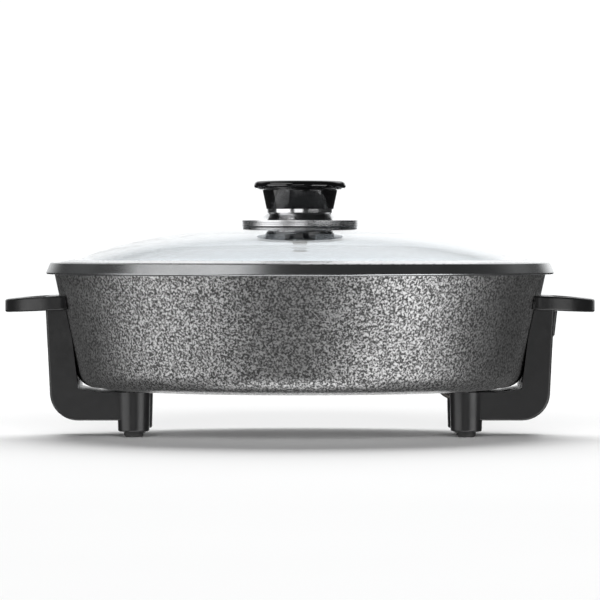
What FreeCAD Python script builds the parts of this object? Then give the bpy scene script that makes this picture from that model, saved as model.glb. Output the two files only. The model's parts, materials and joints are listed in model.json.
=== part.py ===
"""Round electric frying pan with a domed glass lid, as an assembly of separate pieces.

Millimetres.  +Z is up, the origin is on the floor under the pan's axis, +X points to the
side with the power inlet, and the two grips lie on the X axis.
"""
import FreeCAD, Part
import math
import os

Vector = FreeCAD.Vector
UP = Vector(0, 0, 1)
ORIGIN = Vector(0, 0, 0)

# ---------------------------------------------------------------- pan
RIM_RADIUS = 200.0            # outermost edge of the pan's lip
RIM_TOP = 136.1
LIP_UNDERSIDE = 127.1
LIP_TOP_RADIUS = 196.8
WALL_TOP_RADIUS = 193.5       # outside of the wall where it meets the lip
WALL_LOW_RADIUS = 177.0       # outside of the wall where the bottom corner starts
WALL_LOW_Z = 51.0
WALL_THICKNESS = 3.6
BOTTOM_Z = 35.6               # lowest ring of the casting's underside
BOTTOM_FLAT_RADIUS = 130.0
RECESS_RADIUS = 118.0         # the underside is recessed inside this radius
RECESS_Z = 42.0
FLOOR_THICKNESS = 5.2
GUTTER_FALL = 5.0             # the cooking floor falls this much towards its edge
LID_SEAT_Z = 131.0
LID_SEAT_INNER = 187.3
LID_SEAT_OUTER = 191.0

# ---------------------------------------------------------------- legs and grips
COLUMN_X = 130.0
COLUMN_Y = 37.0
COLUMN_TOP_RADIUS = 13.0
COLUMN_BOTTOM_RADIUS = 12.25
COLUMN_BOTTOM_Z = 4.2
ARM_BOTTOM_Z = 13.0
ARM_TOP_Z = 35.0
LEG_HALF_WIDTH = 43.5
LEG_OUTER_LOW = 195.4         # outer face of the upright where the corner starts
LEG_OUTER_TOP = 198.7
LEG_CORNER_RADIUS = 22.0
LEG_INNER_LOW = 173.3
LEG_INNER_TOP = 181.0
LEG_TOP_Z = 101.0
PAN_CLEARANCE = 0.6
WEB = 4.0                     # wall thickness of the moulding
GRIP_TIP = 231.8
GRIP_HALF_WIDTH = 56.0
GRIP_CORNER_RADIUS = 43.8
GRIP_BAR = 12.5
GRIP_ROOT_LOW, GRIP_ROOT_HIGH = 99.9, 110.4
GRIP_TIP_LOW, GRIP_TIP_HIGH = 97.3, 107.2
GRIP_ROOT_X = 180.0
GRIP_ROOT_ROUND = 7.0         # plan rounding where the grip's sides turn in to the pan
GRIP_EDGE_ROUND = 1.5
FINGER_GAP_X = 200.0

# ---------------------------------------------------------------- fixing of the legs
BOSS_RADIUS = 7.0
BOSS_BOTTOM = 24.0
FIBRE_WASHER = 1.0
SCREW_WEB_BOTTOM = 19.0
LEG_SCREW_RADIUS = 2.45

# ---------------------------------------------------------------- heating element and inlet
ELEMENT_RADIUS = 90.0
ELEMENT_TUBE = 3.5
ELEMENT_Z = 39.6
ELEMENT_PAD_HALF_WIDTH = 8.0
ELEMENT_BEND = 18.0
PAD_GAP_HALF = 34.0           # half width of the gap in the pad where the leads pass
LEAD_Z = 31.6                 # the leads dip to this height to pass under the casting's edge
LEAD_Y = 14.0
LEAD_RISE_X = 187.4
LEAD_RISE_BEND = 12.0
LEAD_TOP_Z = 71.0
INLET_Z = 87.2
INLET_HALF_WIDTH = 25.0
INLET_LOW, INLET_HIGH = 76.8, 98.3
INLET_FACE = 201.9
INLET_BACK = 187.8
SOCKET_FLOOR = 189.6
SOCKET_HALF_WIDTH = 21.5
SOCKET_HALF_HEIGHT = 8.0
PIN_RADIUS = 2.5
PIN_START, PIN_END = 190.9, 201.0
PIN_STEM_RADIUS = 1.8         # the pin's back end, riveted through its ceramic bush
SENSOR_BORE_RADIUS = 3.1

# ---------------------------------------------------------------- lid
DOME_APEX = 165.2
DOME_DROP = 27.0              # fall of the dome from its apex to DOME_RADIUS
DOME_RADIUS = 178.0
DOME_ROUNDNESS = 0.55         # share of the fall that grows with the square of the radius
GLASS_THICKNESS = 4.2
GLASS_EDGE_RADIUS = 188.4
GLASS_EDGE_Z = 136.1
BAND_RADIUS = 189.8
BAND_INNER_RADIUS = 179.0
BAND_THICKNESS = 0.5
BAND_BOTTOM = 131.3
VENT_Y = 95.0
VENT_RADIUS = 4.5

# ---------------------------------------------------------------- knob
KNOB_DISC_RADIUS = 36.3
KNOB_TOP = 200.8
KNOB_DISC_LOW = 194.2
KNOB_BODY_TOP_RADIUS = 29.5
KNOB_BODY_LOW_RADIUS = 26.4
KNOB_BODY_LOW = 178.4
SKIRT_NECK_RADIUS = 26.0
SKIRT_RADIUS = 45.0
SKIRT_LOW = 169.4
BASE_PLATE_RADIUS = 45.5
LID_SCREW_RADIUS = 2.9
GLASS_HOLE_RADIUS = 5.0


def point(r, z):
    """A point of a half section, drawn in the XZ plane."""
    return Vector(r, 0, z)


def line(a, b):
    return Part.makeLine(a, b)


def arc(a, through, b):
    return Part.Arc(a, through, b).toShape()


def turned(edges):
    """Revolve a closed half section about the Z axis."""
    face = Part.Face(Part.Wire(edges))
    return face.revolve(ORIGIN, UP, 360)


def turned_polygon(corners):
    points = [point(r, z) for r, z in corners]
    loop = Part.makePolygon(points + points[:1])
    return Part.Face(loop).revolve(ORIGIN, UP, 360)


def cylinder(radius, low, high, x=0.0, y=0.0):
    return Part.makeCylinder(radius, high - low, Vector(x, y, low))


def rod_x(radius, start, end, y, z):
    """A round bar that lies along +X."""
    return Part.makeCylinder(radius, end - start, Vector(start, y, z), Vector(1, 0, 0))


def block(x, y, z):
    """A box from its three (low, high) spans."""
    size = (x[1] - x[0], y[1] - y[0], z[1] - z[0])
    return Part.makeBox(size[0], size[1], size[2], Vector(x[0], y[0], z[0]))


def fused(shapes):
    whole = shapes[0]
    if len(shapes) > 1:
        whole = whole.fuse(shapes[1:])
    return whole.removeSplitter()


def round_edges(shape, radius, chosen):
    """Fillet the edges for which chosen(edge) is true."""
    edges = [edge for edge in shape.Edges if chosen(edge)]
    return shape.makeFillet(radius, edges)


def wall_radius(z):
    """Outside radius of the pan's drafted wall at height z."""
    rise = (z - WALL_LOW_Z) / (LIP_UNDERSIDE - WALL_LOW_Z)
    return WALL_LOW_RADIUS + rise * (WALL_TOP_RADIUS - WALL_LOW_RADIUS)


def dome_z(r):
    """Height of the glass's outer surface at radius r."""
    square = (r / DOME_RADIUS) ** 2
    return DOME_APEX - DOME_DROP * (DOME_ROUNDNESS * square + (1 - DOME_ROUNDNESS) * square ** 2)


def smooth_edge(points):
    curve = Part.BSplineCurve()
    curve.interpolate(points)
    return curve.toShape()


def save(name, shape):
    solids = shape.Solids
    body = solids[0] if len(solids) == 1 else Part.makeCompound(solids)
    if not body.isValid():
        raise RuntimeError(name + " is not a valid solid")
    body.exportStep("parts/" + name + ".step")
    print("%-22s solids %2d  volume %10.0f mm3" % (name, len(solids), body.Volume))


# ================================================================ pan body
def column_places(side):
    return [(side * COLUMN_X, -COLUMN_Y), (side * COLUMN_X, COLUMN_Y)]


def element_path():
    """Centre line of the tubular element: an open ring, two dipping leads and two upright ends."""
    fillet_x = math.sqrt((ELEMENT_RADIUS + ELEMENT_BEND) ** 2 - (LEAD_Y + ELEMENT_BEND) ** 2)
    fillet_y = LEAD_Y + ELEMENT_BEND
    touch = ELEMENT_RADIUS / (ELEMENT_RADIUS + ELEMENT_BEND)
    # middle of the fillet arc: halfway between straight down and towards the ring's centre
    middle = (math.pi + math.atan2(fillet_y, fillet_x) + 1.5 * math.pi) / 2
    bend_x = fillet_x + ELEMENT_BEND * math.cos(middle)
    bend_y = fillet_y + ELEMENT_BEND * math.sin(middle)
    turn_x = LEAD_RISE_X - LEAD_RISE_BEND
    turn_z = LEAD_Z + LEAD_RISE_BEND
    slant = LEAD_RISE_BEND * math.sqrt(0.5)
    # the dip is two equal arcs of an eighth of a turn
    dip_radius = (ELEMENT_Z - LEAD_Z) / (2 * (1 - math.sqrt(0.5)))
    dip_reach = 2 * dip_radius * math.sqrt(0.5)
    quarter_x = dip_radius * math.sin(math.pi / 8)
    quarter_z = dip_radius * (1 - math.cos(math.pi / 8))
    dip_end_x = fillet_x + dip_reach

    def lead(sign):
        y = sign * LEAD_Y
        top = Vector(LEAD_RISE_X, y, LEAD_TOP_Z)
        rise = Vector(LEAD_RISE_X, y, turn_z)
        knee = Vector(turn_x + slant, y, turn_z - slant)
        foot = Vector(turn_x, y, LEAD_Z)
        dip_end = Vector(dip_end_x, y, LEAD_Z)
        dip_low = Vector(dip_end_x - quarter_x, y, LEAD_Z + quarter_z)
        dip_middle = Vector(fillet_x + dip_reach / 2, y, (LEAD_Z + ELEMENT_Z) / 2)
        dip_high = Vector(fillet_x + quarter_x, y, ELEMENT_Z - quarter_z)
        inner = Vector(fillet_x, y, ELEMENT_Z)
        bend = Vector(bend_x, sign * bend_y, ELEMENT_Z)
        ring = Vector(fillet_x * touch, sign * fillet_y * touch, ELEMENT_Z)
        return [
            line(top, rise),
            arc(rise, knee, foot),
            line(foot, dip_end),
            arc(dip_end, dip_low, dip_middle),
            arc(dip_middle, dip_high, inner),
            arc(inner, bend, ring),
        ]

    start = Vector(fillet_x * touch, fillet_y * touch, ELEMENT_Z)
    back = Vector(-ELEMENT_RADIUS, 0, ELEMENT_Z)
    end = Vector(fillet_x * touch, -fillet_y * touch, ELEMENT_Z)
    return Part.Wire(lead(1) + [arc(start, back, end)] + lead(-1)[::-1])


def tube_along(path, radius):
    start = path.Edges[0].Vertexes[0].Point
    ring = Part.Wire(Part.makeCircle(radius, start, UP))
    return path.makePipeShell([ring], True, True)


def pan_outer_edges():
    """The outside of the pan, from the middle of the recessed bottom to the lip."""
    recess_end = point(RECESS_RADIUS, RECESS_Z)
    step_end = point(RECESS_RADIUS + 6.0, BOTTOM_Z)
    flat_end = point(BOTTOM_FLAT_RADIUS, BOTTOM_Z)
    corner_start = point(162.0, BOTTOM_Z + 2.6)
    corner_end = point(WALL_LOW_RADIUS, WALL_LOW_Z)
    wall_top = point(WALL_TOP_RADIUS, LIP_UNDERSIDE)
    return [
        line(point(0, RECESS_Z), recess_end),
        line(recess_end, step_end),
        line(step_end, flat_end),
        arc(flat_end, point(147.0, BOTTOM_Z + 0.7), corner_start),
        arc(corner_start, point(172.4, 42.8), corner_end),
        line(corner_end, wall_top),
    ]


def pan_casting():
    lip_low = point(198.4, LIP_UNDERSIDE)
    lip_tip = point(RIM_RADIUS, LIP_UNDERSIDE + 1.5)
    lip_shoulder = point(LIP_TOP_RADIUS + 0.3, RIM_TOP - 0.6)
    lip_top = point(LIP_TOP_RADIUS - 0.6, RIM_TOP)
    seat_top = point(LID_SEAT_OUTER + 0.7, RIM_TOP)
    seat_round = point(LID_SEAT_OUTER, RIM_TOP - 0.7)
    seat_out = point(LID_SEAT_OUTER, LID_SEAT_Z)
    seat_in = point(LID_SEAT_INNER + 0.6, LID_SEAT_Z)
    seat_edge = point(LID_SEAT_INNER, LID_SEAT_Z - 0.6)
    ledge_low_z = 117.0
    ledge_low = point(wall_radius(ledge_low_z) - WALL_THICKNESS - 0.1, ledge_low_z)
    ledge_foot = point(LID_SEAT_INNER, ledge_low_z + 5.0)
    inner_low = point(WALL_LOW_RADIUS - WALL_THICKNESS, WALL_LOW_Z + 1.0)
    floor_z = RECESS_Z + FLOOR_THICKNESS
    gutter = point(150.0, floor_z - GUTTER_FALL)
    floor_edge = point(RECESS_RADIUS - 4.0, floor_z)
    slope_end = point(138.0, floor_z - GUTTER_FALL)
    edges = pan_outer_edges() + [
        line(point(WALL_TOP_RADIUS, LIP_UNDERSIDE), lip_low),
        arc(lip_low, point(199.6, LIP_UNDERSIDE + 0.4), lip_tip),
        line(lip_tip, lip_shoulder),
        arc(lip_shoulder, point(LIP_TOP_RADIUS - 0.05, RIM_TOP - 0.15), lip_top),
        line(lip_top, seat_top),
        arc(seat_top, point(LID_SEAT_OUTER + 0.2, RIM_TOP - 0.2), seat_round),
        line(seat_round, seat_out),
        line(seat_out, seat_in),
        arc(seat_in, point(LID_SEAT_INNER + 0.18, LID_SEAT_Z - 0.18), seat_edge),
        line(seat_edge, ledge_foot),
        line(ledge_foot, ledge_low),
        line(ledge_low, inner_low),
        arc(inner_low, point(167.4, 45.2), gutter),
        line(gutter, slope_end),
        line(slope_end, floor_edge),
        line(floor_edge, point(0, floor_z)),
        line(point(0, floor_z), point(0, RECESS_Z)),
    ]
    casting = turned(edges)

    # raised pad that carries the element, and four bosses that take the leg screws
    pad_bottom = ELEMENT_Z - ELEMENT_TUBE
    pad = turned_polygon([
        (ELEMENT_RADIUS - ELEMENT_PAD_HALF_WIDTH, RECESS_Z + 1.0),
        (ELEMENT_RADIUS - ELEMENT_PAD_HALF_WIDTH + 1.0, pad_bottom),
        (ELEMENT_RADIUS + ELEMENT_PAD_HALF_WIDTH - 1.0, pad_bottom),
        (ELEMENT_RADIUS + ELEMENT_PAD_HALF_WIDTH, RECESS_Z + 1.0),
    ])
    bosses = []
    for side in (-1, 1):
        for x, y in column_places(side):
            bosses.append(cylinder(BOSS_RADIUS, BOSS_BOTTOM, BOTTOM_Z + 2.0, x, y))
    casting = fused([casting, pad] + bosses)

    # the tube lies in a groove of the pad, and the pad stops where the leads turn outwards
    groove = turned_polygon([
        (ELEMENT_RADIUS - ELEMENT_TUBE - 0.05, ELEMENT_Z + ELEMENT_TUBE + 0.05),
        (ELEMENT_RADIUS - ELEMENT_TUBE - 0.05, pad_bottom - 1.0),
        (ELEMENT_RADIUS + ELEMENT_TUBE + 0.05, pad_bottom - 1.0),
        (ELEMENT_RADIUS + ELEMENT_TUBE + 0.05, ELEMENT_Z + ELEMENT_TUBE + 0.05),
    ])
    lead_bay = block((70.0, RECESS_RADIUS), (-PAD_GAP_HALF, PAD_GAP_HALF), (pad_bottom - 1.0, RECESS_Z))
    lead_bay = lead_bay.fuse([
        block((70.0, 126.0), (y - 4.2, y + 4.2), (pad_bottom - 1.0, ELEMENT_Z + ELEMENT_TUBE + 0.1))
        for y in (-LEAD_Y, LEAD_Y)
    ])
    bend_bay = block((70.0, 104.0), (-PAD_GAP_HALF, PAD_GAP_HALF), (RECESS_Z - 1.0, ELEMENT_Z + ELEMENT_TUBE + 0.1))
    casting = casting.cut([groove, lead_bay, bend_bay])
    threads = []
    for side in (-1, 1):
        for x, y in column_places(side):
            threads.append(cylinder(LEG_SCREW_RADIUS + 0.05, BOSS_BOTTOM - 1.0, BOTTOM_Z - 1.0, x, y))
    return casting.cut(threads)


def heating_element():
    tube = tube_along(element_path(), ELEMENT_TUBE)
    studs = []
    for y in (-LEAD_Y, LEAD_Y):
        studs.append(cylinder(1.3, LEAD_TOP_Z, LEAD_TOP_Z + 4.5, LEAD_RISE_X, y))
    return fused([tube] + studs)


# ================================================================ leg with grip
def leg_profile_block():
    """The L-shaped upright and arm, as one extruded outline with softened edges."""
    corner_x = LEG_OUTER_LOW - LEG_CORNER_RADIUS
    corner_z = ARM_BOTTOM_Z + LEG_CORNER_RADIUS
    slant = LEG_CORNER_RADIUS * math.sqrt(0.5)
    top_out = Vector(LEG_OUTER_TOP, -LEG_HALF_WIDTH, LEG_TOP_Z)
    low_out = Vector(LEG_OUTER_LOW, -LEG_HALF_WIDTH, corner_z)
    knee = Vector(corner_x + slant, -LEG_HALF_WIDTH, corner_z - slant)
    arm_out = Vector(corner_x, -LEG_HALF_WIDTH, ARM_BOTTOM_Z)
    arm_in = Vector(COLUMN_X - 4.0, -LEG_HALF_WIDTH, ARM_BOTTOM_Z)
    arm_in_top = Vector(COLUMN_X - 4.0, -LEG_HALF_WIDTH, ARM_TOP_Z)
    arm_top = Vector(158.0, -LEG_HALF_WIDTH, ARM_TOP_Z)
    inner_low = Vector(LEG_INNER_LOW, -LEG_HALF_WIDTH, 38.1)
    inner_top = Vector(LEG_INNER_TOP, -LEG_HALF_WIDTH, LEG_TOP_Z)
    outline = Part.Wire([
        line(top_out, low_out),
        arc(low_out, knee, arm_out),
        line(arm_out, arm_in),
        line(arm_in, arm_in_top),
        line(arm_in_top, arm_top),
        line(arm_top, inner_low),
        line(inner_low, inner_top),
        line(inner_top, top_out),
    ])
    solid = Part.Face(outline).extrude(Vector(0, 2 * LEG_HALF_WIDTH, 0))

    def outer_side_edge(edge):
        box = edge.BoundBox
        on_side = box.YLength < 0.01
        outside = box.XMax > LEG_OUTER_LOW - 0.1 and box.XLength < LEG_CORNER_RADIUS + 1
        below = box.ZMax < ARM_BOTTOM_Z + 0.1
        return on_side and (outside or below) and box.ZMin < LEG_TOP_Z - 1

    return round_edges(solid, 2.0, outer_side_edge)


def column(x, y):
    rounding = 1.6
    outline = [
        line(point(0, COLUMN_BOTTOM_Z), point(COLUMN_BOTTOM_RADIUS - rounding, COLUMN_BOTTOM_Z)),
        arc(
            point(COLUMN_BOTTOM_RADIUS - rounding, COLUMN_BOTTOM_Z),
            point(COLUMN_BOTTOM_RADIUS - 0.3 * rounding, COLUMN_BOTTOM_Z + 0.3 * rounding),
            point(COLUMN_BOTTOM_RADIUS, COLUMN_BOTTOM_Z + rounding),
        ),
        line(point(COLUMN_BOTTOM_RADIUS, COLUMN_BOTTOM_Z + rounding), point(COLUMN_TOP_RADIUS, ARM_TOP_Z)),
        line(point(COLUMN_TOP_RADIUS, ARM_TOP_Z), point(0, ARM_TOP_Z)),
        line(point(0, ARM_TOP_Z), point(0, COLUMN_BOTTOM_Z)),
    ]
    shape = turned(outline)
    shape.translate(Vector(x, y, 0))
    return shape


def grip_outline():
    """Plan outline of the grip as a wire at z = 0."""
    radius = GRIP_CORNER_RADIUS
    centre_x = GRIP_TIP - radius
    centre_y = GRIP_HALF_WIDTH - radius
    slant = radius * math.sqrt(0.5)
    root_y = GRIP_HALF_WIDTH - GRIP_ROOT_ROUND
    round_x = GRIP_ROOT_X + GRIP_ROOT_ROUND
    root_slant = GRIP_ROOT_ROUND * math.sqrt(0.5)
    edges = [line(Vector(GRIP_ROOT_X, root_y, 0), Vector(GRIP_ROOT_X, -root_y, 0))]
    edges.append(line(Vector(GRIP_TIP, -centre_y, 0), Vector(GRIP_TIP, centre_y, 0)))
    for sign in (-1, 1):
        root_middle = Vector(round_x - root_slant, sign * (root_y + root_slant), 0)
        side_start = Vector(round_x, sign * GRIP_HALF_WIDTH, 0)
        side_end = Vector(centre_x, sign * GRIP_HALF_WIDTH, 0)
        corner = Vector(centre_x + slant, sign * (centre_y + slant), 0)
        edges.append(arc(Vector(GRIP_ROOT_X, sign * root_y, 0), root_middle, side_start))
        edges.append(line(side_start, side_end))
        edges.append(arc(side_end, corner, Vector(GRIP_TIP, sign * centre_y, 0)))
    return Part.Wire(Part.__sortEdges__(edges))


def finger_gap_outline():
    """Plan outline of the opening behind the bar: the grip's outline one bar width further in."""
    radius = GRIP_CORNER_RADIUS - GRIP_BAR
    centre_x = GRIP_TIP - GRIP_CORNER_RADIUS
    centre_y = GRIP_HALF_WIDTH - GRIP_CORNER_RADIUS
    reach = FINGER_GAP_X - centre_x
    start_y = centre_y + math.sqrt(radius ** 2 - reach ** 2)
    turn = math.atan2(start_y - centre_y, reach) / 2
    bar_x = GRIP_TIP - GRIP_BAR
    edges = [line(Vector(FINGER_GAP_X, start_y, 0), Vector(FINGER_GAP_X, -start_y, 0))]
    edges.append(line(Vector(bar_x, -centre_y, 0), Vector(bar_x, centre_y, 0)))
    for sign in (-1, 1):
        middle = Vector(centre_x + radius * math.cos(turn), sign * (centre_y + radius * math.sin(turn)), 0)
        edges.append(arc(Vector(bar_x, sign * centre_y, 0), middle, Vector(FINGER_GAP_X, sign * start_y, 0)))
    return Part.Wire(Part.__sortEdges__(edges))


def grip_plate():
    """The drooping loop that the hand holds, over its full depth."""
    wide = GRIP_HALF_WIDTH + 5.0
    middle_x = (GRIP_ROOT_X + GRIP_TIP) / 2
    crown = 0.8
    tip_out = GRIP_TIP + 1.0
    root_in = GRIP_ROOT_X - 1.0
    side = Part.Wire([
        line(Vector(root_in, -wide, GRIP_ROOT_LOW), Vector(tip_out, -wide, GRIP_TIP_LOW)),
        line(Vector(tip_out, -wide, GRIP_TIP_LOW), Vector(tip_out, -wide, GRIP_TIP_HIGH)),
        arc(
            Vector(tip_out, -wide, GRIP_TIP_HIGH),
            Vector(middle_x, -wide, (GRIP_ROOT_HIGH + GRIP_TIP_HIGH) / 2 + crown),
            Vector(root_in, -wide, GRIP_ROOT_HIGH),
        ),
        line(Vector(root_in, -wide, GRIP_ROOT_HIGH), Vector(root_in, -wide, GRIP_ROOT_LOW)),
    ])
    slab = Part.Face(side).extrude(Vector(0, 2 * wide, 0))
    plan = Part.Face(grip_outline()).extrude(Vector(0, 0, 200.0))
    gap = Part.Face(finger_gap_outline()).extrude(Vector(0, 0, 200.0))
    plate = slab.common(plan)
    plate = round_edges(plate, GRIP_EDGE_ROUND, runs_round_plate)
    plate = plate.cut(gap)
    return round_edges(plate, 1.2, borders_finger_gap)


def runs_round_plate(edge):
    """Top and bottom edges of the grip's outer outline."""
    box = edge.BoundBox
    return box.ZLength < 6.0 and box.XLength + box.YLength > 0.9


def borders_finger_gap(edge):
    box = edge.BoundBox
    inside = box.XMin > FINGER_GAP_X - 0.1 and box.XMax < GRIP_TIP - GRIP_BAR + 0.1
    return inside and box.ZLength < 3.0 and abs(box.YMin) < GRIP_HALF_WIDTH - GRIP_BAR + 0.5


def pan_clearance_solid():
    """The outside of the pan grown by the gap that the legs keep to it."""
    grown = [
        (0, BOTTOM_Z - PAN_CLEARANCE),
        (BOTTOM_FLAT_RADIUS, BOTTOM_Z - PAN_CLEARANCE),
        (148.0, BOTTOM_Z),
        (162.5, BOTTOM_Z + 1.8),
        (168.0, 39.2),
        (173.2, 42.2),
        (176.4, 46.0),
        (WALL_LOW_RADIUS + PAN_CLEARANCE, WALL_LOW_Z),
        (WALL_TOP_RADIUS + PAN_CLEARANCE, LIP_UNDERSIDE),
        (0, LIP_UNDERSIDE),
    ]
    return turned_polygon(grown)


def leg_pockets():
    """Cored bays of the moulding: behind the upright, and in the arm from below."""
    cuts = []
    rib = 3.0
    inner_y = LEG_HALF_WIDTH - WEB
    slope = (LEG_OUTER_TOP - LEG_OUTER_LOW) / (LEG_TOP_Z - ARM_BOTTOM_Z - LEG_CORNER_RADIUS)
    for low_y, high_y in ((-inner_y, -rib / 2), (rib / 2, inner_y)):
        low_z, high_z = 54.0, 96.5
        low_x = LEG_OUTER_LOW + slope * (low_z - 35.0) - WEB
        high_x = LEG_OUTER_LOW + slope * (high_z - 35.0) - WEB
        outline = Part.makePolygon([
            Vector(150.0, low_y, low_z),
            Vector(low_x, low_y, low_z),
            Vector(high_x, low_y, high_z),
            Vector(150.0, low_y, high_z),
            Vector(150.0, low_y, low_z),
        ])
        cuts.append(Part.Face(outline).extrude(Vector(0, high_y - low_y, 0)))
        cuts.append(block((148.0, 166.0), (low_y, high_y), (ARM_BOTTOM_Z - 1, 26.5)))
        cuts.append(block((169.0, 184.0), (low_y, high_y), (ARM_BOTTOM_Z - 1, 26.5)))
    cuts.append(block((116.0, 145.0), (-21.0, -rib / 2), (ARM_BOTTOM_Z - 1, 26.5)))
    cuts.append(block((116.0, 145.0), (rib / 2, 21.0), (ARM_BOTTOM_Z - 1, 26.5)))
    return cuts


def inlet_cuts():
    """Room in the right moulding for the inlet, its screws and the element's leads."""
    gap = 0.3
    window = block(
        (INLET_BACK - 8.0, INLET_FACE + 5.0),
        (-INLET_HALF_WIDTH - gap, INLET_HALF_WIDTH + gap),
        (INLET_LOW - gap, INLET_HIGH + gap),
    )
    flange = block((180.0, 193.2), (-35.0, 35.0), (INLET_LOW - gap, INLET_HIGH + gap))
    cuts = [window, flange]
    for sign in (-1, 1):
        cuts.append(block((100.0, LEAD_RISE_X), (sign * LEAD_Y - 4.5, sign * LEAD_Y + 4.5), (27.5, 60.0)))
        cuts.append(block((170.0, LEAD_RISE_X + 4.5), (sign * LEAD_Y - 4.5, sign * LEAD_Y + 4.5), (32.0, 80.0)))
        cuts.append(rod_x(1.45, 190.0, 196.6, sign * 29.5, INLET_Z))
    return cuts


def column_cuts(side):
    cuts = []
    for x, y in column_places(side):
        cuts.append(cylinder(BOSS_RADIUS + 0.35, BOSS_BOTTOM - FIBRE_WASHER, ARM_TOP_Z + 3.0, x, y))
        cuts.append(cylinder(2.8, SCREW_WEB_BOTTOM - 1.0, BOSS_BOTTOM, x, y))
        cuts.append(cylinder(5.6, COLUMN_BOTTOM_Z - 1.0, SCREW_WEB_BOTTOM, x, y))
    return cuts


def mirrored_to(side, shape):
    if side > 0:
        return shape
    return shape.mirror(ORIGIN, Vector(1, 0, 0))


def handle_leg(side):
    parts = [leg_profile_block(), grip_plate()]
    for x, y in column_places(1):
        parts.append(column(x, y))
    moulding = fused(parts)
    cuts = [pan_clearance_solid()] + leg_pockets() + column_cuts(1)
    if side > 0:
        cuts += inlet_cuts()
    moulding = moulding.cut(cuts)
    return mirrored_to(side, moulding)


def leg_screws(side):
    screws = []
    for x, y in column_places(side):
        shank = cylinder(LEG_SCREW_RADIUS, SCREW_WEB_BOTTOM - 1.2, 33.5, x, y)
        head = cylinder(4.6, SCREW_WEB_BOTTOM - 4.4, SCREW_WEB_BOTTOM - 1.2, x, y)
        head = round_edges(head, 1.0, lambda edge: edge.BoundBox.ZMax < SCREW_WEB_BOTTOM - 4.3)
        bar = block((x - 2.6, x + 2.6), (y - 0.5, y + 0.5), (SCREW_WEB_BOTTOM - 5.0, SCREW_WEB_BOTTOM - 2.6))
        cross = block((x - 0.5, x + 0.5), (y - 2.6, y + 2.6), (SCREW_WEB_BOTTOM - 5.0, SCREW_WEB_BOTTOM - 2.6))
        screws.append(fused([shank, head]).cut([bar, cross]))
    return Part.makeCompound(screws)


def spring_washers(side):
    rings = []
    for x, y in column_places(side):
        ring = cylinder(4.7, SCREW_WEB_BOTTOM - 1.2, SCREW_WEB_BOTTOM, x, y)
        hole = cylinder(LEG_SCREW_RADIUS + 0.1, SCREW_WEB_BOTTOM - 2, SCREW_WEB_BOTTOM + 1, x, y)
        split = block((x, x + 6.0), (y - 0.4, y + 0.4), (SCREW_WEB_BOTTOM - 2, SCREW_WEB_BOTTOM + 1))
        rings.append(ring.cut([hole, split]))
    return Part.makeCompound(rings)


def fibre_washers():
    rings = []
    for side in (-1, 1):
        for x, y in column_places(side):
            ring = cylinder(BOSS_RADIUS, BOSS_BOTTOM - FIBRE_WASHER, BOSS_BOTTOM, x, y)
            hole = cylinder(LEG_SCREW_RADIUS + 0.3, BOSS_BOTTOM - 2, BOSS_BOTTOM + 1, x, y)
            rings.append(ring.cut(hole))
    return Part.makeCompound(rings)


def rubber_foot(x, y):
    stem_top = 12.5
    outline = [
        line(point(0, 0), point(5.4, 0)),
        arc(point(5.4, 0), point(6.9, 0.65), point(7.5, 2.1)),
        line(point(7.5, 2.1), point(7.6, COLUMN_BOTTOM_Z)),
        line(point(7.6, COLUMN_BOTTOM_Z), point(5.5, COLUMN_BOTTOM_Z)),
        line(point(5.5, COLUMN_BOTTOM_Z), point(5.2, stem_top)),
        line(point(5.2, stem_top), point(0, stem_top)),
        line(point(0, stem_top), point(0, 0)),
    ]
    foot = turned(outline)
    foot.translate(Vector(x, y, 0))
    return foot


# ================================================================ power inlet
def inlet_shroud():
    low, high = INLET_LOW, INLET_HIGH
    outline = Part.makePolygon([
        Vector(INLET_BACK, -INLET_HALF_WIDTH, low),
        Vector(197.2, -INLET_HALF_WIDTH, low),
        Vector(199.8, -INLET_HALF_WIDTH, low + 2.8),
        Vector(INLET_FACE, -INLET_HALF_WIDTH, high),
        Vector(INLET_BACK, -INLET_HALF_WIDTH, high),
        Vector(INLET_BACK, -INLET_HALF_WIDTH, low),
    ])
    shell = Part.Face(outline).extrude(Vector(0, 2 * INLET_HALF_WIDTH, 0))

    def upright_corner(edge):
        box = edge.BoundBox
        return box.YLength < 0.01 and box.XMin > 199.0 and box.ZLength > 10

    shell = round_edges(shell, 2.0, upright_corner)
    flange = block((190.4, 193.0), (-34.0, 34.0), (low + 1.0, high - 1.0))
    socket = block(
        (SOCKET_FLOOR, INLET_FACE + 5.0),
        (-SOCKET_HALF_WIDTH, SOCKET_HALF_WIDTH),
        (INLET_Z - SOCKET_HALF_HEIGHT, INLET_Z + SOCKET_HALF_HEIGHT),
    )
    socket = round_edges(socket, 4.0, lambda edge: edge.BoundBox.XLength > 5)
    cuts = [socket]
    for y in (-LEAD_Y, LEAD_Y):
        cuts.append(rod_x(4.0, INLET_BACK - 1, SOCKET_FLOOR + 1, y, INLET_Z))
    cuts.append(rod_x(4.6, INLET_BACK - 1, SOCKET_FLOOR + 1, 0, INLET_Z))
    for sign in (-1, 1):
        cuts.append(rod_x(1.7, 185.0, 194.0, sign * 29.5, INLET_Z))
    cuts.append(block((INLET_BACK - 1, SOCKET_FLOOR + 1), (-3.1, 3.1), (92.7, 94.0)))
    return fused([shell, flange]).cut(cuts)


def terminal_pins():
    pins = []
    for y in (-LEAD_Y, LEAD_Y):
        pin = rod_x(PIN_RADIUS, PIN_START, PIN_END, y, INLET_Z)
        pin = round_edges(pin, 1.2, lambda edge: edge.BoundBox.XMin > PIN_END - 0.1)
        stem = rod_x(PIN_STEM_RADIUS, 186.1, PIN_START, y, INLET_Z)
        pins.append(fused([pin, stem]))
    return Part.makeCompound(pins)


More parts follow.
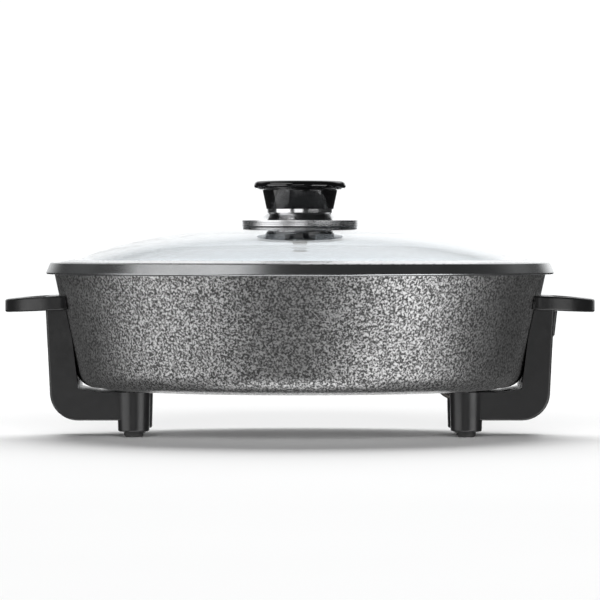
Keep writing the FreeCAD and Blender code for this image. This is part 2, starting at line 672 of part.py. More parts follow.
def terminal_bushes():
    bushes = []
    for y in (-LEAD_Y, LEAD_Y):
        bush = rod_x(3.9, INLET_BACK, SOCKET_FLOOR + 1.2, y, INLET_Z)
        bushes.append(bush.cut(rod_x(PIN_STEM_RADIUS + 0.05, INLET_BACK - 1, SOCKET_FLOOR + 2, y, INLET_Z)))
    return Part.makeCompound(bushes)


def terminal_straps():
    straps = []
    for y in (-LEAD_Y, LEAD_Y):
        strap = block((185.3, 186.1), (y - 3.0, y + 3.0), (LEAD_TOP_Z + 1.2, INLET_Z + 3.0))
        straps.append(strap)
    return Part.makeCompound(straps)


def sensor_block():
    """Aluminium sleeve that touches the pan's wall and takes the thermostat's probe."""
    body = rod_x(4.5, 183.0, 199.5, 0, INLET_Z)
    body = round_edges(body, 0.8, lambda edge: edge.BoundBox.XMin > 199.4)
    bore = rod_x(SENSOR_BORE_RADIUS, 187.0, 200.5, 0, INLET_Z)
    pan = Part.Face(Part.Wire(pan_outer_edges() + [
        line(point(WALL_TOP_RADIUS, LIP_UNDERSIDE), point(0, LIP_UNDERSIDE)),
        line(point(0, LIP_UNDERSIDE), point(0, RECESS_Z)),
    ])).revolve(ORIGIN, UP, 360)
    return body.cut([bore, pan])


def earth_contact():
    strip = block((186.4, 196.5), (-3.0, 3.0), (92.9, 93.7))
    tip = Part.makeCylinder(0.9, 6.0, Vector(196.5, -3.0, 93.3), Vector(0, 1, 0))
    return fused([strip, tip])


def inlet_screws():
    screws = []
    for sign in (-1, 1):
        shank = rod_x(1.4, 190.4, 196.4, sign * 29.5, INLET_Z)
        head = rod_x(2.7, 188.6, 190.4, sign * 29.5, INLET_Z)
        screws.append(fused([head, shank]))
    return Part.makeCompound(screws)


# ================================================================ lid
def lid_glass():
    steps = 8
    radii = [DOME_RADIUS * i / steps for i in range(steps + 1)]
    outer = smooth_edge([point(r, dome_z(r)) for r in radii])
    inner = smooth_edge([point(r, dome_z(r) - GLASS_THICKNESS) for r in radii])
    shoulder_out = point(DOME_RADIUS, dome_z(DOME_RADIUS))
    shoulder_in = point(DOME_RADIUS, dome_z(DOME_RADIUS) - GLASS_THICKNESS)
    edge_out = point(GLASS_EDGE_RADIUS - 1.2, GLASS_EDGE_Z)
    edge_mid = point(GLASS_EDGE_RADIUS, GLASS_EDGE_Z - 2.0)
    edge_in = point(GLASS_EDGE_RADIUS - 1.2, GLASS_EDGE_Z - 4.0)
    glass = turned([
        outer,
        line(shoulder_out, edge_out),
        arc(edge_out, edge_mid, edge_in),
        line(edge_in, shoulder_in),
        inner,
        line(point(0, dome_z(0) - GLASS_THICKNESS), point(0, dome_z(0))),
    ])
    knob_hole = cylinder(GLASS_HOLE_RADIUS, 140.0, 180.0)
    vent_hole = cylinder(VENT_RADIUS, 140.0, 180.0, 0.0, VENT_Y)
    return glass.cut([knob_hole, vent_hole])


def lid_rim_band():
    """Folded steel channel round the edge of the glass."""
    glass_out = dome_z(DOME_RADIUS)
    lift = 0.06
    top_in = BAND_INNER_RADIUS
    slope = (glass_out - GLASS_EDGE_Z) / (GLASS_EDGE_RADIUS - 1.2 - DOME_RADIUS)
    inner_top = glass_out - slope * (top_in - DOME_RADIUS) + lift
    corner_top = GLASS_EDGE_Z + lift
    inside = BAND_RADIUS - BAND_THICKNESS
    return turned([
        line(point(top_in, inner_top), point(GLASS_EDGE_RADIUS - 1.0, corner_top)),
        line(point(GLASS_EDGE_RADIUS - 1.0, corner_top), point(inside, corner_top - 1.0)),
        line(point(inside, corner_top - 1.0), point(inside, BAND_BOTTOM + BAND_THICKNESS)),
        line(point(inside, BAND_BOTTOM + BAND_THICKNESS), point(182.5, BAND_BOTTOM + BAND_THICKNESS)),
        line(point(182.5, BAND_BOTTOM + BAND_THICKNESS), point(182.5, BAND_BOTTOM)),
        line(point(182.5, BAND_BOTTOM), point(BAND_RADIUS - 0.8, BAND_BOTTOM)),
        arc(
            point(BAND_RADIUS - 0.8, BAND_BOTTOM),
            point(BAND_RADIUS - 0.23, BAND_BOTTOM + 0.23),
            point(BAND_RADIUS, BAND_BOTTOM + 0.8),
        ),
        line(point(BAND_RADIUS, BAND_BOTTOM + 0.8), point(BAND_RADIUS, corner_top - 0.7)),
        arc(
            point(BAND_RADIUS, corner_top - 0.7),
            point(BAND_RADIUS - 0.5, corner_top + 0.2),
            point(BAND_RADIUS - 1.6, corner_top + 0.72),
        ),
        line(point(BAND_RADIUS - 1.6, corner_top + 0.72), point(top_in, inner_top + BAND_THICKNESS)),
        line(point(top_in, inner_top + BAND_THICKNESS), point(top_in, inner_top)),
    ])


def steam_vent_eyelet():
    """Pressed eyelet set square to the glass at the vent."""
    here = dome_z(VENT_Y)
    slope = math.degrees(math.atan2(dome_z(VENT_Y - 1) - dome_z(VENT_Y + 1), 2))
    inner = VENT_RADIUS - 1.4
    top = 1.0
    low = -GLASS_THICKNESS - 1.05
    rim = VENT_RADIUS + 1.9
    eyelet = turned_polygon([
        (inner, low),
        (rim - 0.4, low),
        (rim - 0.4, low + 0.6),
        (VENT_RADIUS - 0.7, low + 0.6),
        (VENT_RADIUS - 0.7, top - 0.7),
        (rim, top - 0.7),
        (rim, top - 0.3),
        (rim - 0.6, top),
        (inner, top),
    ])
    eyelet.rotate(ORIGIN, Vector(1, 0, 0), -slope)
    eyelet.translate(Vector(0, VENT_Y, here))
    return eyelet


# ================================================================ knob
def knob_cap():
    """Black moulded knob: a round-edged disc on a tapered, hollow body."""
    edge_middle = (KNOB_TOP - 0.6 + KNOB_DISC_LOW) / 2
    return turned([
        line(point(0, KNOB_TOP - 0.5), point(KNOB_DISC_RADIUS - 8.5, KNOB_TOP - 0.5)),
        arc(
            point(KNOB_DISC_RADIUS - 8.5, KNOB_TOP - 0.5),
            point(KNOB_DISC_RADIUS - 6.3, KNOB_TOP),
            point(KNOB_DISC_RADIUS - 3.4, KNOB_TOP - 0.25),
        ),
        arc(
            point(KNOB_DISC_RADIUS - 3.4, KNOB_TOP - 0.25),
            point(KNOB_DISC_RADIUS, edge_middle + 0.2),
            point(KNOB_DISC_RADIUS - 2.0, KNOB_DISC_LOW),
        ),
        line(point(KNOB_DISC_RADIUS - 2.0, KNOB_DISC_LOW), point(KNOB_BODY_TOP_RADIUS + 0.8, KNOB_DISC_LOW - 0.4)),
        arc(
            point(KNOB_BODY_TOP_RADIUS + 0.8, KNOB_DISC_LOW - 0.4),
            point(KNOB_BODY_TOP_RADIUS + 0.2, KNOB_DISC_LOW - 0.6),
            point(KNOB_BODY_TOP_RADIUS, KNOB_DISC_LOW - 1.2),
        ),
        line(point(KNOB_BODY_TOP_RADIUS, KNOB_DISC_LOW - 1.2), point(KNOB_BODY_LOW_RADIUS, KNOB_BODY_LOW)),
        line(point(KNOB_BODY_LOW_RADIUS, KNOB_BODY_LOW), point(KNOB_BODY_LOW_RADIUS - 3.0, KNOB_BODY_LOW)),
        line(point(KNOB_BODY_LOW_RADIUS - 3.0, KNOB_BODY_LOW), point(KNOB_BODY_TOP_RADIUS - 4.5, KNOB_TOP - 5.0)),
        line(point(KNOB_BODY_TOP_RADIUS - 4.5, KNOB_TOP - 5.0), point(8.0, KNOB_TOP - 5.0)),
        line(point(8.0, KNOB_TOP - 5.0), point(7.5, KNOB_BODY_LOW)),
        line(point(7.5, KNOB_BODY_LOW), point(4.6, KNOB_BODY_LOW)),
        line(point(4.6, KNOB_BODY_LOW), point(4.6, KNOB_TOP - 8.0)),
        line(point(4.6, KNOB_TOP - 8.0), point(0, KNOB_TOP - 8.0)),
        line(point(0, KNOB_TOP - 8.0), point(0, KNOB_TOP - 0.5)),
    ])


def knob_insert():
    low, high = KNOB_BODY_LOW - 0.4, KNOB_TOP - 8.0
    insert = cylinder(4.6, low, high)
    return insert.cut(cylinder(LID_SCREW_RADIUS + 0.05, low - 1, high - 1.5))


def knob_skirt():
    """Spun polished steel flare under the knob, with a short neck."""
    sheet = 0.8
    neck_low = 175.6
    return turned([
        line(point(SKIRT_NECK_RADIUS, KNOB_BODY_LOW - 0.05), point(SKIRT_NECK_RADIUS, neck_low)),
        arc(point(SKIRT_NECK_RADIUS, neck_low), point(33.0, 172.4), point(SKIRT_RADIUS, SKIRT_LOW)),
        line(point(SKIRT_RADIUS, SKIRT_LOW), point(SKIRT_RADIUS, SKIRT_LOW - sheet)),
        arc(
            point(SKIRT_RADIUS, SKIRT_LOW - sheet),
            point(32.6, 171.4),
            point(SKIRT_NECK_RADIUS - sheet, neck_low - 0.5),
        ),
        line(point(SKIRT_NECK_RADIUS - sheet, neck_low - 0.5), point(SKIRT_NECK_RADIUS - sheet, 177.5)),
        line(point(SKIRT_NECK_RADIUS - sheet, 177.5), point(5.4, 177.5)),
        line(point(5.4, 177.5), point(5.4, KNOB_BODY_LOW - 0.05)),
        line(point(5.4, KNOB_BODY_LOW - 0.05), point(SKIRT_NECK_RADIUS, KNOB_BODY_LOW - 0.05)),
    ])


def knob_base_plate():
    """Steel plate that closes the flare: a thin web and a brushed, grooved edge."""
    foot = dome_z(BASE_PLATE_RADIUS) + 0.15
    under_flare = SKIRT_LOW - 0.85
    top = SKIRT_LOW + 0.05
    web_inner, web_outer = 13.3, 38.0
    web_low, web_high = 166.6, 167.6
    groove = 0.35
    marks = []
    for z in (top - 1.7, top - 3.1):
        marks += [
            (BASE_PLATE_RADIUS, z + groove),
            (BASE_PLATE_RADIUS - groove, z),
            (BASE_PLATE_RADIUS, z - groove),
        ]
    corners = [(web_inner, web_low), (web_inner, web_high), (web_outer, web_high)]
    corners += [(web_outer, under_flare), (SKIRT_RADIUS + 0.05, under_flare)]
    corners += [(SKIRT_RADIUS + 0.05, top), (BASE_PLATE_RADIUS, top)] + marks
    corners += [(BASE_PLATE_RADIUS, foot + 0.6), (BASE_PLATE_RADIUS - 0.7, foot)]
    corners += [(BASE_PLATE_RADIUS - 3.5, dome_z(BASE_PLATE_RADIUS - 3.5) + 0.2)]
    corners += [(web_outer, dome_z(web_outer) + 0.2)]
    return turned_polygon(corners)


def washer(inner, outer, low, high):
    return cylinder(outer, low, high).cut(cylinder(inner, low - 1, high + 1))


def knob_spacer():
    """Moulded spacer between the glass and the knob, hidden by the flare."""
    return washer(4.0, 13.0, DOME_APEX + 1.2, 177.4)


def knob_screw():
    head_top = DOME_APEX - GLASS_THICKNESS - 2.0
    head_low = head_top - 3.2
    head = cylinder(6.0, head_low, head_top)
    head = round_edges(head, 1.6, lambda edge: edge.BoundBox.ZMax < head_low + 0.1)
    slot = block((-7.0, 7.0), (-0.6, 0.6), (head_low - 1, head_low + 1.2))
    shank = cylinder(LID_SCREW_RADIUS, head_top, 189.0)
    return fused([head.cut(slot), shank])


def main():
    os.makedirs("parts", exist_ok=True)
    glass_low = DOME_APEX - GLASS_THICKNESS
    save("pan_casting", pan_casting())
    save("heating_element", heating_element())
    for side, name in ((-1, "left"), (1, "right")):
        save(name + "_leg_and_grip", handle_leg(side))
        save(name + "_leg_screws", leg_screws(side))
        save(name + "_spring_washers", spring_washers(side))
        for (x, y), place in zip(column_places(side), ("front", "rear")):
            save(name + "_" + place + "_foot", rubber_foot(x, y))
    save("fibre_washers", fibre_washers())
    save("inlet_shroud", inlet_shroud())
    save("inlet_screws", inlet_screws())
    save("terminal_pins", terminal_pins())
    save("terminal_bushes", terminal_bushes())
    save("terminal_straps", terminal_straps())
    save("sensor_block", sensor_block())
    save("earth_contact", earth_contact())
    save("lid_glass", lid_glass())
    save("lid_rim_band", lid_rim_band())
    save("steam_vent_eyelet", steam_vent_eyelet())
    save("knob_cap", knob_cap())
    save("knob_insert", knob_insert())
    save("knob_skirt", knob_skirt())
    save("knob_base_plate", knob_base_plate())
    save("knob_spacer", knob_spacer())
    save("upper_lid_washer", washer(LID_SCREW_RADIUS + 0.3, 12.0, DOME_APEX + 0.1, DOME_APEX + 1.2))
    save("lower_lid_washer", washer(LID_SCREW_RADIUS + 0.3, 12.0, glass_low - 1.2, glass_low - 0.1))
    save("steel_lid_washer", washer(LID_SCREW_RADIUS + 0.2, 9.0, glass_low - 2.0, glass_low - 1.2))
    save("knob_screw", knob_screw())


main()
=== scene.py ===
"""Looks, light and camera for the electric frying pan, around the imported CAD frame."""
import json
import math

import bpy
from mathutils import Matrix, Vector


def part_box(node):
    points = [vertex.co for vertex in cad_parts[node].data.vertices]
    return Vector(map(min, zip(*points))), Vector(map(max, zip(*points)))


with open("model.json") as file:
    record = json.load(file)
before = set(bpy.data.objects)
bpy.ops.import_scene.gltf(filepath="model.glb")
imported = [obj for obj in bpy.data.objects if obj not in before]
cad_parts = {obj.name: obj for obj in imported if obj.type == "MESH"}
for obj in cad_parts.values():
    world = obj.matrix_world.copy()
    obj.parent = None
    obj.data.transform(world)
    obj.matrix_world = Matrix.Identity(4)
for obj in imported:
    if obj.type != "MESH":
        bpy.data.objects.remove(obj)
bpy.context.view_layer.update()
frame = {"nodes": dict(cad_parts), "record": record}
NODES = frame["nodes"]

# ---------------------------------------------------------------- places read from the frame
pan_low, pan_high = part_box("pan_casting")
FLOOR_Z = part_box("left_front_foot")[0][2]
RIM_TOP_Z = pan_high[2]
LIP_LOW_Z = RIM_TOP_Z - 0.0092          # just under the underside of the pan's lip
UNDERSIDE_TOP_Z = pan_low[2] + 0.0172   # everything of the casting below this is its outer underside
LEDGE_RADIUS = pan_high[1] - 0.0115     # between the lid's ledge and the outside of the wall
LEDGE_LOW_Z = RIM_TOP_Z - 0.0240        # just below the lid's ledge

LIT_POINT = Vector((0.0, 0.0, 0.1))     # the softboxes aim at it and are placed from it
FLOOR_RADIUS = 3.0
FLOOR_DROP = 0.0002                     # keeps the floor off the feet's faces

DIM_WORLD = 0.03                        # world strength away from the bright part, for reflections
SEEN_WORLD = 1.06                       # world strength as the camera sees it
DIFFUSE_WORLD = 0.07                    # world strength for diffuse light

CAMERA_PLACE = Vector((0.0, -3.946, 0.161))
CAMERA_AIM = Vector((0.0, 0.0, 0.1066))
CAMERA_LENS = 300.0
CAMERA_SENSOR = 36.0


# ================================================================ node material helper
def is_socket(value):
    return isinstance(value, bpy.types.NodeSocket)


class Shader:
    """One node material; methods add nodes and return their output sockets."""

    def __init__(self, name):
        self.material = bpy.data.materials.new(name)
        self.material.use_nodes = True
        self.tree = self.material.node_tree
        self.tree.nodes.clear()
        self.place = self.node("ShaderNodeTexCoord").outputs["Object"]

    def node(self, kind, **settings):
        made = self.tree.nodes.new(kind)
        for key, value in settings.items():
            setattr(made, key, value)
        return made

    def plug(self, value, socket):
        if is_socket(value):
            self.tree.links.new(value, socket)
        else:
            socket.default_value = value

    def plug_colour(self, value, socket):
        self.plug(value if is_socket(value) else (*value, 1.0), socket)

    def math(self, operation, a, b=0.0, clamp=False):
        made = self.node("ShaderNodeMath", operation=operation, use_clamp=clamp)
        self.plug(a, made.inputs[0])
        self.plug(b, made.inputs[1])
        return made.outputs[0]

    def noise(self, size, detail=2.0, roughness=0.5, where=None, distortion=0.0):
        """Noise whose features are about size metres across."""
        made = self.node("ShaderNodeTexNoise")
        self.plug(where if where is not None else self.place, made.inputs["Vector"])
        made.inputs["Scale"].default_value = 1.0 / size
        made.inputs["Detail"].default_value = detail
        made.inputs["Roughness"].default_value = roughness
        made.inputs["Distortion"].default_value = distortion
        return made.outputs["Fac"]

    def ramp(self, value, stops):
        """Colours or greys at places along value."""
        made = self.node("ShaderNodeValToRGB")
        self.plug(value, made.inputs["Fac"])
        line = made.color_ramp
        while len(line.elements) < len(stops):
            line.elements.new(0.5)
        for element, (spot, colour) in zip(line.elements, stops):
            element.position = spot
            grey = (colour,) * 3 if isinstance(colour, (int, float)) else colour
            element.color = (*grey, 1.0)
        return made.outputs["Color"]

    def span(self, value, low_in, high_in, low_out, high_out):
        """Value moved from one range of numbers to another, and held inside it."""
        made = self.node("ShaderNodeMapRange")
        self.plug(value, made.inputs["Value"])
        made.inputs["From Min"].default_value = low_in
        made.inputs["From Max"].default_value = high_in
        made.inputs["To Min"].default_value = low_out
        made.inputs["To Max"].default_value = high_out
        return made.outputs["Result"]

    def mix(self, share, a, b):
        """Colour that goes from a to b with share."""
        made = self.node("ShaderNodeMix", data_type="RGBA")
        self.plug(share, made.inputs["Factor"])
        self.plug_colour(a, made.inputs[6])
        self.plug_colour(b, made.inputs[7])
        return made.outputs[2]

    def blend(self, share, a, b):
        """Number that goes from a to b with share."""
        made = self.node("ShaderNodeMix", data_type="FLOAT")
        self.plug(share, made.inputs["Factor"])
        self.plug(a, made.inputs[2])
        self.plug(b, made.inputs[3])
        return made.outputs[0]

    def bump(self, height, distance, strength=1.0):
        made = self.node("ShaderNodeBump")
        self.plug(height, made.inputs["Height"])
        made.inputs["Distance"].default_value = distance
        made.inputs["Strength"].default_value = strength
        return made.outputs["Normal"]

    def axes(self):
        made = self.node("ShaderNodeSeparateXYZ")
        self.plug(self.place, made.inputs[0])
        return made.outputs[0], made.outputs[1], made.outputs[2]

    def facing_up(self):
        """Upward part of the surface normal: 1 on a level top, -1 on a level underside."""
        made = self.node("ShaderNodeSeparateXYZ")
        self.plug(self.node("ShaderNodeTexCoord").outputs["Normal"], made.inputs[0])
        return made.outputs[2]

    def radius(self):
        """Distance from the pan's vertical axis."""
        x, y, _ = self.axes()
        return self.math("SQRT", self.math("ADD", self.math("MULTIPLY", x, x), self.math("MULTIPLY", y, y)))

    def around(self, fine):
        """Coordinates that change fast across radius and height and slowly round the axis."""
        x, y, z = self.axes()
        made = self.node("ShaderNodeCombineXYZ")
        self.plug(self.math("MULTIPLY", self.radius(), fine), made.inputs[0])
        self.plug(self.math("ARCTAN2", y, x), made.inputs[1])
        self.plug(self.math("MULTIPLY", z, fine), made.inputs[2])
        return made.outputs[0]

    def principled(self, colour, roughness, normal=None, **constants):
        made = self.node("ShaderNodeBsdfPrincipled")
        self.plug_colour(colour, made.inputs["Base Color"])
        self.plug(roughness, made.inputs["Roughness"])
        if normal is not None:
            self.plug(normal, made.inputs["Normal"])
        for key, value in constants.items():
            self.plug(value, made.inputs[key.replace("_", " ")])
        return made.outputs[0]

    def done(self, surface):
        out = self.node("ShaderNodeOutputMaterial")
        self.plug(surface, out.inputs["Surface"])
        return self.material


# ================================================================ materials
def speckled_enamel():
    """Hammered silver and grey speckle outside, smooth gunmetal lip, black non-stick coat inside."""
    s = Shader("speckled_enamel")
    z = s.axes()[2]
    faces_down = s.math("LESS_THAN", s.facing_up(), -0.05)
    underside = s.math("LESS_THAN", z, UNDERSIDE_TOP_Z)
    within = s.math("LESS_THAN", s.radius(), LEDGE_RADIUS)
    ledge = s.math("MULTIPLY", within, s.math("GREATER_THAN", z, LEDGE_LOW_Z))
    outside = s.math("SUBTRACT", s.math("MAXIMUM", faces_down, underside), ledge, clamp=True)
    lip = s.math("GREATER_THAN", z, LIP_LOW_Z)

    islands = s.noise(0.0016, detail=1.0, roughness=0.5, distortion=0.5)
    flecks = s.ramp(islands, [(0.36, 0.045), (0.45, 0.11), (0.55, 0.30), (0.64, 0.48)])
    patches = s.span(s.noise(0.05, detail=3.0), 0.3, 0.7, 0.88, 1.10)
    tinted = s.node("ShaderNodeVectorMath", operation="SCALE")
    s.plug(flecks, tinted.inputs[0])
    s.plug(patches, tinted.inputs["Scale"])
    speckle = tinted.outputs[0]

    sprayed = s.ramp(s.noise(0.0016, detail=3.0), [(0.3, (0.012, 0.012, 0.013)), (0.75, (0.022, 0.022, 0.024))])
    gunmetal = s.ramp(s.noise(0.02, detail=4.0), [(0.3, (0.30, 0.305, 0.31)), (0.7, (0.36, 0.365, 0.37))])
    colour = s.mix(outside, sprayed, speckle)
    colour = s.mix(lip, colour, gunmetal)

    hammered_rough = s.span(islands, 0.4, 0.6, 0.52, 0.43)
    coat_rough = s.span(s.noise(0.004, detail=4.0), 0.3, 0.7, 0.40, 0.52)
    rough = s.blend(outside, coat_rough, hammered_rough)
    rough = s.blend(lip, rough, 0.26)
    metallic = s.blend(outside, 0.0, s.span(islands, 0.42, 0.56, 0.55, 0.95))
    metallic = s.blend(lip, metallic, 0.9)

    swell = s.noise(0.0065, detail=1.0)
    hammer = s.math("ADD", s.math("MULTIPLY", islands, 0.6), swell)
    coat_grain = s.math("MULTIPLY", s.noise(0.0012, detail=2.0), 0.12)
    lip_ripple = s.math("MULTIPLY", s.noise(0.004, detail=1.0), 0.03)
    height = s.blend(outside, coat_grain, hammer)
    height = s.blend(lip, height, lip_ripple)
    normal = s.bump(height, 0.0003, 0.7)
    return s.done(s.principled(colour, rough, normal, Metallic=metallic))


def black_moulding():
    s = Shader("black_moulding")
    tone = s.ramp(s.noise(0.03, detail=5.0), [(0.3, (0.011, 0.011, 0.0115)), (0.7, (0.016, 0.016, 0.0165))])
    rough = s.span(s.noise(0.006, detail=4.0), 0.3, 0.7, 0.29, 0.38)
    grain = s.noise(0.0006, detail=3.0, roughness=0.6)
    return s.done(s.principled(tone, rough, s.bump(grain, 0.00006, 0.6), IOR=1.52))


def gloss_black():
    s = Shader("gloss_black")
    tone = s.ramp(s.noise(0.02, detail=3.0), [(0.3, (0.006, 0.006, 0.0065)), (0.7, (0.010, 0.010, 0.011))])
    rough = s.span(s.noise(0.03, detail=3.0), 0.3, 0.7, 0.07, 0.12)
    normal = s.bump(s.noise(0.012, detail=1.0), 0.00004, 0.5)
    return s.done(s.principled(tone, rough, normal, IOR=1.55, Coat_Weight=0.4, Coat_Roughness=0.03))


def metal(name, low, high, rough_low, rough_high, fine=0.0, grain=0.0, anisotropy=0.0):
    """A bare metal; fine sets the density of turned or brushed lines round the axis."""
    s = Shader(name)
    tone = s.ramp(s.noise(0.012, detail=4.0), [(0.3, low), (0.7, high)])
    rough = s.span(s.noise(0.006, detail=4.0), 0.3, 0.7, rough_low, rough_high)
    if fine > 0.0:
        lines = s.noise(1.0, detail=3.0, roughness=0.6, where=s.around(fine))
        rough = s.math("ADD", rough, s.span(lines, 0.3, 0.7, -0.04, 0.05))
        normal = s.bump(lines, 0.00002, grain)
    else:
        normal = s.bump(s.noise(0.0008, detail=3.0), 0.00004, grain)
    return s.done(s.principled(tone, rough, normal, Metallic=1.0, Anisotropic=anisotropy))


def dull(name, low, high, rough_low, rough_high, grain_size, grain):
    """A matt moulded or fired material with a fine surface grain."""
    s = Shader(name)
    tone = s.ramp(s.noise(0.01, detail=4.0), [(0.3, low), (0.7, high)])
    rough = s.span(s.noise(0.004, detail=3.0), 0.3, 0.7, rough_low, rough_high)
    normal = s.bump(s.noise(grain_size, detail=3.0), 0.00008, grain)
    return s.done(s.principled(tone, rough, normal))


def lid_glass():
    """Clear tempered glass that lets lamp light through into the pan."""
    s = Shader("lid_glass")
    haze = s.span(s.noise(0.05, detail=5.0, roughness=0.6), 0.45, 0.75, 0.0, 0.02)
    tint = s.ramp(s.noise(0.12, detail=1.0), [(0.2, (0.92, 0.96, 0.99)), (0.8, (0.94, 0.975, 1.0))])
    glass = s.principled(tint, haze, None, IOR=1.47, Transmission_Weight=1.0)
    clear = s.node("ShaderNodeBsdfTransparent")
    clear.inputs["Color"].default_value = (0.90, 0.94, 0.95, 1.0)
    mixed = s.node("ShaderNodeMixShader")
    s.plug(s.node("ShaderNodeLightPath").outputs["Is Shadow Ray"], mixed.inputs[0])
    s.plug(glass, mixed.inputs[1])
    s.plug(clear.outputs[0], mixed.inputs[2])
    return s.done(mixed.outputs[0])


# name: (darker tone, lighter tone, least and most roughness, line density, grain strength, anisotropy)
METALS = {
    "polished_steel": ((0.74, 0.74, 0.75), (0.82, 0.82, 0.83), 0.15, 0.19, 900.0, 0.1, 0.0),
    "brushed_steel": ((0.66, 0.66, 0.67), (0.76, 0.76, 0.77), 0.24, 0.32, 1800.0, 0.6, 0.5),
    "plated_steel": ((0.50, 0.50, 0.48), (0.60, 0.60, 0.59), 0.25, 0.40, 0.0, 0.4, 0.0),
    "element_sheath": ((0.05, 0.047, 0.043), (0.10, 0.092, 0.085), 0.40, 0.60, 0.0, 0.5, 0.0),
    "nickel_contact": ((0.66, 0.63, 0.58), (0.74, 0.72, 0.68), 0.14, 0.24, 0.0, 0.3, 0.0),
    "sensor_metal": ((0.62, 0.62, 0.63), (0.72, 0.72, 0.73), 0.26, 0.36, 0.0, 0.4, 0.0),
    "insert_brass": ((0.62, 0.46, 0.20), (0.74, 0.58, 0.30), 0.22, 0.34, 1500.0, 0.4, 0.0),
}

# name: (darker tone, lighter tone, least and most roughness, grain size in metres, grain strength)
DULL_MATERIALS = {
    "ceramic_white": ((0.78, 0.75, 0.68), (0.86, 0.84, 0.79), 0.55, 0.70, 0.0007, 0.6),
    "fibre": ((0.30, 0.17, 0.09), (0.44, 0.28, 0.16), 0.70, 0.85, 0.0005, 0.8),
    "rubber_black": ((0.010, 0.010, 0.010), (0.017, 0.017, 0.017), 0.62, 0.78, 0.0006, 0.7),
    "silicone_black": ((0.022, 0.022, 0.025), (0.035, 0.035, 0.038), 0.50, 0.62, 0.001, 0.3),
}


def make_materials():
    made = {
        "speckled_enamel": speckled_enamel(),
        "black_moulding": black_moulding(),
        "gloss_black": gloss_black(),
        "lid_glass": lid_glass(),
    }
    for name, settings in METALS.items():
        made[name] = metal(name, *settings)
    for name, settings in DULL_MATERIALS.items():
        made[name] = dull(name, *settings)
    return made


def dress_nodes(materials):
    """Give every CAD node the material of its slot."""
    for entry in frame["record"]["subparts"]:
        shown = NODES[entry["node"]]
        for place in shown.material_slots:
            place.material = materials[entry["material_slot"]]


# ================================================================ floor, light and camera
def add_floor():
    """Plain pale floor with lamps of its own; it sends no bounce or shadow back to the object."""
    bpy.ops.mesh.primitive_circle_add(
        vertices=96, radius=FLOOR_RADIUS, fill_type="NGON", location=(0, 0, FLOOR_Z - FLOOR_DROP))
    floor = bpy.context.object
    floor.name = "floor"
    floor.visible_diffuse = False
    floor.visible_glossy = False
    floor.visible_shadow = False
    s = Shader("floor_white")
    bright = s.ramp(s.noise(0.8, detail=2.0), [(0.3, 0.90), (0.7, 0.92)])
    floor.data.materials.append(s.done(s.principled(bright, 1.0, None, Specular_IOR_Level=0.0)))
    return floor


def light_only(lamp, target, state):
    """Make the lamp light nothing but the target (INCLUDE), or everything but it (EXCLUDE)."""
    group = bpy.data.collections.new(lamp.name + "_receivers")
    group.objects.link(target)
    group.collection_objects[0].light_linking.link_state = state
    lamp.light_linking.receiver_collection = group


def around_object(azimuth, elevation, distance):
    """Place seen from the object at azimuth degrees right of the camera and elevation above it."""
    flat = distance * math.cos(math.radians(elevation))
    turn = math.radians(azimuth)
    rise = distance * math.sin(math.radians(elevation))
    return LIT_POINT + Vector((flat * math.sin(turn), -flat * math.cos(turn), rise))


def add_softbox(name, place, width, height, power):
    """White area light aimed at the middle of the object."""
    data = bpy.data.lights.new(name, "AREA")
    data.shape = "RECTANGLE"
    data.size = width
    data.size_y = height
    data.energy = power
    lamp = bpy.data.objects.new(name, data)
    lamp.location = place
    lamp.rotation_euler = (LIT_POINT - place).to_track_quat("-Z", "Y").to_euler()
    lamp.visible_camera = False
    bpy.context.collection.objects.link(lamp)
    return lamp


# name: (azimuth, elevation, distance, width, height, watts)
OBJECT_LIGHTS = {
    "left_box": (-62, -12, 1.6, 1.7, 1.5, 14.0),
    "right_box": (50, -22, 1.6, 1.2, 1.2, 14.0),
    "high_left_box": (-56, 40, 1.8, 1.8, 0.6, 6.2),
    "front_box": (-5, 1, 3.0, 1.6, 0.7, 4.5),
    "low_fill": (0, -70, 1.6, 1.6, 1.0, 13.0),
    "rear_box": (180, -16, 2.0, 0.9, 0.8, 7.0),
}
FLOOR_LIGHTS = {
    "floor_front_box": (0, 15, 12.0, 8.0, 4.0, 1250.0),
    "floor_rear_box": (180, 44, 12.0, 9.0, 13.0, 2000.0),
}


def add_lights(floor):
    for lights, state in ((OBJECT_LIGHTS, "EXCLUDE"), (FLOOR_LIGHTS, "INCLUDE")):
        for name, (azimuth, elevation, distance, width, height, power) in lights.items():
            lamp = add_softbox(name, around_object(azimuth, elevation, distance), width, height, power)
            light_only(lamp, floor, state)


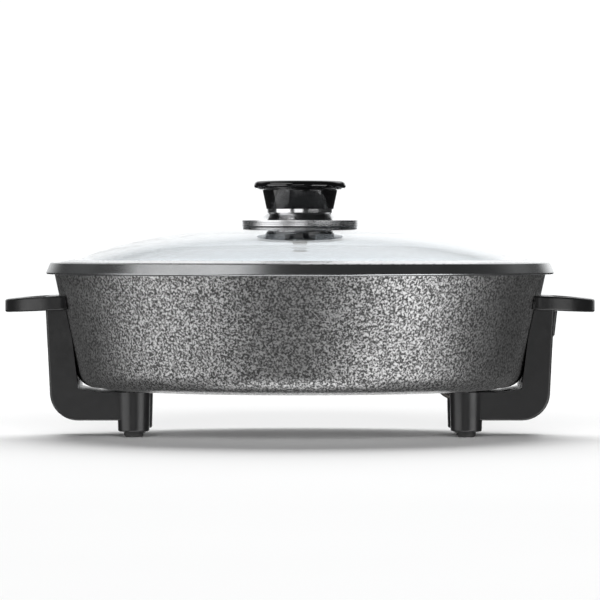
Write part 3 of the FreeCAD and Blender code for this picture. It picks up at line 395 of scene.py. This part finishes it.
def add_world():
    """White to the eye; as light, white behind and above the object and dim elsewhere."""
    world = bpy.data.worlds.new("studio")
    bpy.context.scene.world = world
    world.use_nodes = True
    tree = world.node_tree
    back = tree.nodes["Background"]

    def node(kind, **settings):
        made = tree.nodes.new(kind)
        for key, value in settings.items():
            setattr(made, key, value)
        return made

    def plug(value, socket):
        if is_socket(value):
            tree.links.new(value, socket)
        else:
            socket.default_value = value

    def ramp(source, low_in, high_in, low_out, high_out):
        made = node("ShaderNodeMapRange", interpolation_type="SMOOTHSTEP")
        plug(source, made.inputs["Value"])
        plug(low_in, made.inputs["From Min"])
        plug(high_in, made.inputs["From Max"])
        plug(low_out, made.inputs["To Min"])
        plug(high_out, made.inputs["To Max"])
        return made.outputs["Result"]

    def math_node(operation, a, b):
        made = node("ShaderNodeMath", operation=operation)
        plug(a, made.inputs[0])
        plug(b, made.inputs[1])
        return made.outputs[0]

    def blend(share, a, b):
        made = node("ShaderNodeMix", data_type="FLOAT")
        plug(share, made.inputs[0])
        plug(a, made.inputs[2])
        plug(b, made.inputs[3])
        return made.outputs[0]

    split = node("ShaderNodeSeparateXYZ")
    plug(node("ShaderNodeTexCoord").outputs["Generated"], split.inputs[0])
    x, y, z = split.outputs
    behind = math_node("MULTIPLY", ramp(y, 0.8, 0.97, 0.0, 1.0), ramp(z, -0.06, 0.02, 0.0, 1.0))
    above = math_node("MULTIPLY", ramp(y, 0.3, 0.75, 0.0, 1.0), ramp(z, 0.24, 0.6, 0.0, 1.0))
    more_on_the_right = ramp(x, -0.6, 0.6, 0.9, 1.9)
    shaped = math_node("MULTIPLY", math_node("MAXIMUM", behind, above), more_on_the_right)
    light = math_node("ADD", shaped, DIM_WORLD)

    ray = node("ShaderNodeLightPath").outputs
    seen = math_node("MAXIMUM", ray["Is Camera Ray"], ray["Is Transmission Ray"])
    strength = blend(ray["Is Diffuse Ray"], blend(seen, light, SEEN_WORLD), DIFFUSE_WORLD)
    plug((0.985, 0.995, 1.0, 1.0), back.inputs["Color"])
    plug(strength, back.inputs["Strength"])


def add_camera():
    data = bpy.data.cameras.new("view_camera")
    data.lens = CAMERA_LENS
    data.sensor_width = CAMERA_SENSOR
    data.clip_end = 100.0
    camera = bpy.data.objects.new("view_camera", data)
    camera.location = CAMERA_PLACE
    camera.rotation_euler = (CAMERA_AIM - CAMERA_PLACE).to_track_quat("-Z", "Y").to_euler()
    bpy.context.collection.objects.link(camera)
    bpy.context.scene.camera = camera


add_camera()
dress_nodes(make_materials())
floor = add_floor()
add_world()
add_lights(floor)
bpy.context.scene.view_settings.view_transform = "Standard"
